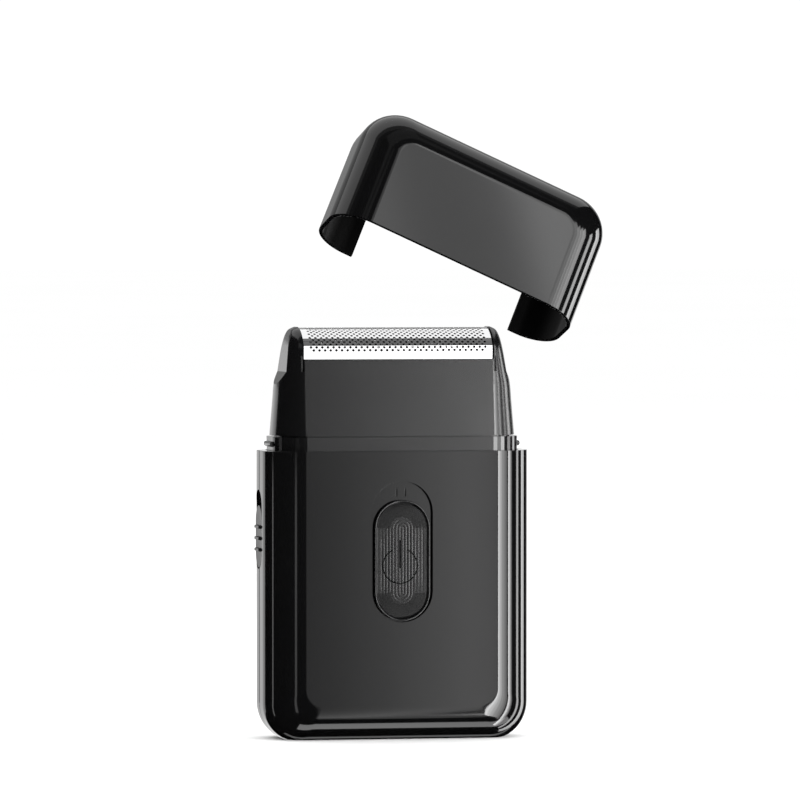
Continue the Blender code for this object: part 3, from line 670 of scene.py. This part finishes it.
def between(rows, steps):
    """The rows with steps - 1 more between each two, along a smooth curve through them all."""
    made = []
    last = len(rows) - 1
    for i in range(last):
        before, start, end, after = rows[max(i - 1, 0)], rows[i], rows[i + 1], rows[min(i + 2, last)]
        for k in range(steps):
            t = k / steps
            row = []
            for a, b, c, d in zip(before, start, end, after):
                bend = (2 * a - 5 * b + 4 * c - d) * t * t + (3 * b - a - 3 * c + d) * t**3
                row.append(b + 0.5 * ((c - a) * t + bend))
            made.append(row)
    return [*made, rows[-1]]


def head_frame():
    rings = []
    for z, half_x, half_y, deep in between(HEAD_SECTIONS, 4):
        ring = rounded_rectangle(half_x, half_y, (half_x - HEAD_FLAT_HALF, deep), CORNER_STEPS)
        rings.append([(x, y, z) for x, y in ring])
    body = loft("head_shell", rings)
    hollow = prism("hollow", rounded_rectangle(26.4, 8.3, (3.0, 3.0)), "Z", 70.0, 82.5)
    length, depth = FOIL_HALF_LENGTH + GAP, FOIL_HALF_DEPTH + GAP
    foil_slot = box("foil_slot", (-length, -depth, 80.0), (length, depth, 100.0))
    open_top = box("open_top", (-length, -15.0, APRON_TOP), (length, 15.0, 100.0))
    slits = [
        box(f"slit_{x}_{y}", (x - 0.35, y - 1.2, 87.3), (x + 0.35, y + 1.2, 91.0))
        for x in (-23.25, 23.25)
        for y in (-9.3, 9.3)
    ]
    cut(body, hollow, foil_slot, open_top, grip(-1), grip(1), *slits)
    # a lip below the head hides the light in the gap above the collar
    lip = prism("lip", rounded_rectangle(28.2, 9.6, (6.0, 8.6)), "Z", HEAD_Z - 0.26, HEAD_Z + 0.5)
    cut(lip, prism("lip_hole", rounded_rectangle(27.0, 8.6, (4.0, 6.0)), "Z", HEAD_Z - 1.0, HEAD_Z + 1.0))
    join(body, lip)
    finish(body, "head", "gloss_black_abs", HEAD_BLACK, "head_frame", edge=0.1, angle=17.0)
    second_finish(body, HEAD_SIDE, lambda face: face.normal.x > 0.1)


def foil_profile(distance):
    """The point (y, z) at a distance along the foil's section from its front bottom edge (mm)."""
    if distance <= FOIL_WALL:
        return (-FOIL_HALF_DEPTH, FOIL_BOTTOM + distance)
    if distance >= FOIL_WALL + FOIL_ARC:
        return (FOIL_HALF_DEPTH, FOIL_SPRING_Z - (distance - FOIL_WALL - FOIL_ARC))
    a = (distance - FOIL_WALL) / FOIL_RADIUS - FOIL_LEAN
    return (FOIL_RADIUS * math.sin(a), FOIL_TOP - FOIL_RADIUS + FOIL_RADIUS * math.cos(a))


def foil():
    """A sheet pierced by staggered rows of round holes, bent over the arch."""
    total = 2 * FOIL_WALL + FOIL_ARC
    arch_rows = round(FOIL_ARC / HOLE_ROW)
    row_height = FOIL_ARC / arch_rows
    rows = arch_rows + 2 * WALL_ROWS
    first = FOIL_WALL - WALL_ROWS * row_height
    edges = [0.0, first * 0.5] + [first + row_height * k for k in range(rows + 1)]
    edges += [total - first * 0.5, total]
    half_run = HOLES_IN_ROW * HOLE_PITCH / 2
    columns = 2 * HOLES_IN_ROW
    bm = bmesh.new()
    made = {}

    def vertex(x, s):
        """The vertex at x and at the distance s along the section, made on first use."""
        key = (round(x, 4), round(s, 4))
        if key not in made:
            y, z = foil_profile(s)
            made[key] = bm.verts.new(Vector((x, y, z)) * MM)
        return made[key]

    xs = [-half_run + HOLE_PITCH / 2 * k for k in range(columns + 1)]
    xs = [-FOIL_HALF_LENGTH, *xs, FOIL_HALF_LENGTH]

    def plain(i, s0, s1):
        corners = ((xs[i], s0), (xs[i + 1], s0), (xs[i + 1], s1), (xs[i], s1))
        bm.faces.new([vertex(x, s) for x, s in corners])

    def pierced(i, s0, s1):
        """Two columns wide, with the hole in the middle."""
        middle, level = xs[i + 1], (s0 + s1) / 2
        rim = [(xs[i], s0), (xs[i + 1], s0), (xs[i + 2], s0), (xs[i + 2], level)]
        rim += [(xs[i + 2], s1), (xs[i + 1], s1), (xs[i], s1), (xs[i], level)]
        outer = [vertex(x, s) for x, s in rim]
        inner = []
        for x, s in rim:
            a = math.atan2(s - level, x - middle)
            inner.append(vertex(middle + HOLE_RADIUS * math.cos(a), level + HOLE_RADIUS * math.sin(a)))
        for k in range(8):
            m = (k + 1) % 8
            bm.faces.new((outer[k], outer[m], inner[m], inner[k]))

    for k, (s0, s1) in enumerate(zip(edges, edges[1:])):
        if not 2 <= k < 2 + rows:
            for i in range(columns + 2):
                plain(i, s0, s1)
            continue
        shift = (k + 1) % 2
        level = (s0 + s1) / 2
        for i in (0, columns + 1, *((1, columns) if shift else ())):
            plain(i, s0, level)
            plain(i, level, s1)
        for i in range(1 + shift, columns - shift, 2):
            pierced(i, s0, s1)
    sheet = mesh_object("pierced_foil", bm)
    thick = sheet.modifiers.new("Sheet", "SOLIDIFY")
    thick.thickness = FOIL_SHEET * MM
    thick.offset = -1.0
    bake(sheet)
    finish(sheet, "foil_unit", "stainless_steel", FOIL_STEEL, "foil", angle=30.0)


# ---------------------------------------------------------------- cap


def cap():
    """Built seated on the shoulder, then swung to where the CAD shows it, by the record's own hinge."""
    corners = (CORNER_MIDDLE, CORNER_PANEL)
    top = CAP_SEAT_Z + CAP_HEIGHT
    body = tub("cap_shell", HALF_WIDTH, HALF_DEPTH, FILLET, corners, CAP_SEAT_Z, top)
    corners = (CORNER_MIDDLE - CAP_WALL, CORNER_PANEL - 1.0)
    inside = tub(
        "cap_inside",
        HALF_WIDTH - CAP_WALL,
        HALF_DEPTH - CAP_WALL,
        FILLET - CAP_WALL,
        corners,
        CAP_SEAT_Z - 2.0,
        top - CAP_WALL,
    )
    cut(body, inside)
    half, low, high, bend = CAP_NOTCH_HALF, CAP_SEAT_Z - 6.0, CAP_SEAT_Z + CAP_NOTCH_HEIGHT, 2.0
    outline = [(-half, low), (half, low)]
    outline += circle(bend, (half - bend, high - bend), 6, 0.0, math.pi / 2)
    outline += circle(bend, (bend - half, high - bend), 6, math.pi / 2, math.pi / 2)
    cut(body, prism("notch", outline, "Y", 8.0, 16.0))
    joint = next(j for j in frame["joints"] if j["name"] == "cap_swing")
    pivot = Matrix.Translation(Vector(joint["pos_m"]))
    turn = Matrix.Rotation(-math.radians(joint["range_deg"][1]), 4, Vector(joint["axis"]).normalized())
    swing = pivot @ turn @ pivot.inverted()
    body.data.transform(swing)
    finish(body, "cap", "gloss_black_abs", GLOSS_BLACK, "cap", edge=0.12)
    middle = swing @ Vector((0.0, 0.0, (CAP_SEAT_Z + 10.0) * MM))
    # painted shade: the cap's inward faces get the near-black, almost unreflecting material
    second_finish(body, INK_AND_PAINTED_SHADE_BLACK, lambda face: face.normal.dot(face.center - middle) < 0.0)
    body.visible_glossy = False  # so that the foil mirrors the lights and not the cap


# ---------------------------------------------------------------- inner pieces, taken over from the CAD

CARRIED = {
    HEAD_BLACK: ("chassis",),
    SATIN_BLACK: ("motor_end_bell", "foil_carrier"),
    NATURAL: ("drive_bridge", "bridge_retainer", "drive_eccentric", "cutter_holder", "switch_carriage"),
    RUBBER: ("pin_boot",),
    BLADE_STEEL: ("cutter_block",),
    STEEL: (
        "cutter_spring",
        "motor_shaft",
        "motor_can",
        "motor_bracket",
        "housing_screw_1",
        "housing_screw_2",
        "retainer_screw_1",
        "retainer_screw_2",
    ),
    NICKEL: (
        "cell_spring_left",
        "cell_spring_right",
        "series_link_plate",
        "terminal_plate_left",
        "terminal_plate_right",
    ),
    BRASS: ("contact_wiper",),
}


def carried_nodes():
    groups = [*CARRIED.items(), (board_material(), ("switch_board",))]
    for tag, low, high in (("left", 0.049, 0.056), ("right", 0.009, 0.016)):
        sleeve = wrap_material("cell_sleeve_" + tag, low, high, (0.02, 0.03, 0.06), (0.62, 0.36, 0.12))
        groups.append((sleeve, ("battery_cell_" + tag,)))
    for material, names in groups:
        for name in names:
            node = frame["nodes"][name]
            node.data.materials.clear()
            node.data.materials.append(material)
            if name == "chassis":  # smooth normals would bend the reflection in its long flat front
                node.data.shade_flat()
            else:
                smooth(node)


# ---------------------------------------------------------------- floor and light


def make_floor():
    bm = bmesh.new()
    bmesh.ops.create_grid(bm, x_segments=1, y_segments=1, size=12.0)
    floor = mesh_object("floor", bm)
    shader = Shader("pale_floor", (0.95, 0.95, 0.95), 0.8)
    shader.main.inputs["Specular IOR Level"].default_value = 0.0
    shader.colour(shader.ramp(shader.noise(2.0), (0.94, 0.94, 0.94), (0.96, 0.96, 0.96)))
    floor.data.materials.append(shader.material)
    floor.visible_glossy = False


def area_light(name, position, target, width, height, radiance):
    """A rectangle of even brightness that faces target; radiance is what a mirror would show of it."""
    light = bpy.data.lights.new(name, "AREA")
    light.shape = "RECTANGLE"
    light.size = width
    light.size_y = height
    light.energy = radiance * math.pi * width * height
    obj = bpy.data.objects.new(name, light)
    bpy.context.scene.collection.objects.link(obj)
    obj.location = position
    aim = Vector(target) - Vector(position)
    obj.rotation_euler = aim.to_track_quat("-Z", "Y").to_euler()
    obj.visible_camera = False


STRIP_DISTANCE = 1.1  # metres from the shaver, for the strips and the cards
STRIPS = (  # bearings of both edges (degrees, left of the front positive), brightness, low and high end (m)
    (-8.0, -9.4, 0.35, -0.9, 0.35),
    (-9.4, -10.4, 0.6, -0.9, 0.35),
    (-10.4, -11.4, 0.95, -0.9, 0.35),
    (-11.4, -12.4, 1.45, -0.9, 0.35),
    (-12.4, -13.6, 2.1, -0.9, 0.35),
    (-13.6, -17.0, 1.1, -1.0, -0.62),
    (-16.0, -19.0, 17.0, -0.75, 0.42),
    (-19.0, -23.0, 12.0, -0.8, 0.42),
    (-23.0, -28.0, 9.0, -0.8, 0.42),
    (-28.0, -34.0, 6.0, -0.85, 0.42),
    (-34.0, -39.0, 4.5, -0.9, 0.42),
    (-39.0, -44.0, 3.0, -1.0, 0.42),
    (-48.0, -53.0, 16.0, -2.0, 0.28),
    (-53.0, -57.0, 8.0, -2.0, 0.28),
    (-57.0, -61.0, 3.0, -2.0, 0.28),
    (-78.5, -87.0, 7.0, -2.0, 0.3),
    (-101.0, -108.0, 7.0, -2.0, 0.3),
    (-108.0, -117.0, 4.5, -2.0, 0.3),
    (-8.0, -10.6, 0.9, 0.05, 0.09),
    (-10.6, -12.0, 0.4, 0.05, 0.09),
    (20.0, 26.0, 1.1, -0.6, 0.025),
    (98.0, 102.0, 2.0, -0.6, 0.025),
)


def strip_lights():
    """Tall soft boxes that stand round the shaver and draw the bright lines down its fillets."""
    for number, (start, end, brightness, low, high) in enumerate(STRIPS, 1):
        bearing = math.radians((start + end) / 2)
        width = 2 * STRIP_DISTANCE * math.tan(math.radians(abs(end - start) / 2))
        middle = (low + high) / 2
        x, y = -STRIP_DISTANCE * math.sin(bearing), -STRIP_DISTANCE * math.cos(bearing)
        area_light(f"strip_{number}", (x, y, middle), (0, 0, middle), width, high - low, brightness)


def card_light(name, bearing, rise, width, height, brightness):
    """A soft box at a bearing and a rise above the horizon (degrees), facing the middle of the shaver."""
    turn, up = math.radians(bearing), math.radians(rise)
    centre = Vector((0.0, 0.0, 0.1))
    away = Vector((-math.sin(turn) * math.cos(up), -math.cos(turn) * math.cos(up), math.sin(up)))
    area_light(name, centre + away * STRIP_DISTANCE, centre, width, height, brightness)


def make_lights():
    """White surroundings that mirrors do not show, and soft boxes for the mirrors."""
    world = bpy.data.worlds.new("studio")
    bpy.context.scene.world = world
    world.use_nodes = True
    background = world.node_tree.nodes["Background"]
    background.inputs["Color"].default_value = (1.0, 1.0, 1.0, 1.0)
    background.inputs["Strength"].default_value = 1.05
    world.cycles_visibility.glossy = False
    world.cycles_visibility.transmission = False
    area_light("backdrop_low", (0.0, 2.2, -0.2), (0, 0, -0.2), 3.4, 0.8, 1.05)
    area_light("backdrop_high", (0.0, 2.2, 1.0), (0, 0, 1.0), 3.4, 1.6, 0.4)
    area_light("overhead", (0.0, 0.42, 0.8), (0, 0.1, 0.05), 1.6, 0.8, 1.1)
    area_light("overhead_edge", (0.0, -0.03, 0.97), (0, -0.03, 0.1), 1.6, 0.16, 0.18)
    area_light("overhead_far", (0.0, -0.2, 0.96), (0, -0.03, 0.1), 1.6, 0.18, 0.03)
    area_light("below", (0.45, -0.42, -1.0), (0.45, -0.3, 0.0), 1.5, 0.38, 3.4)
    area_light("below_behind", (0.3, 0.55, -1.0), (0.3, 0.3, 0.0), 1.5, 0.2, 1.0)
    card_light("cap_card_left", -24.0, 34.0, 0.12, 0.34, 0.9)
    card_light("cap_card_middle", -29.0, 33.0, 0.1, 0.34, 1.5)
    card_light("cap_card_right", -34.5, 32.0, 0.12, 0.34, 2.6)
    for step in range(4):
        bearing, rise, brightness = -42.0 - 7.0 * step, 27.0 - 3.5 * step, 3.2 + 0.9 * step
        card_light(f"cap_card_edge_{step + 1}", bearing, rise, 0.14, 0.3, brightness)
    card_light("cap_card_side", 55.0, 34.0, 0.7, 0.4, 0.35)
    card_light("cap_card_turn", 14.0, 36.0, 0.55, 0.5, 0.16)
    card_light("cap_card_top", -22.0, 66.0, 0.9, 0.5, 0.13)
    strip_lights()
    bpy.context.scene.view_settings.view_transform = "Standard"


# ---------------------------------------------------------------- the whole scene

make_camera()
front_housing()
battery_cover()
power_knob()
power_sign()
lock_knob()
head_frame()
foil()
cap()
carried_nodes()
make_floor()
make_lights()
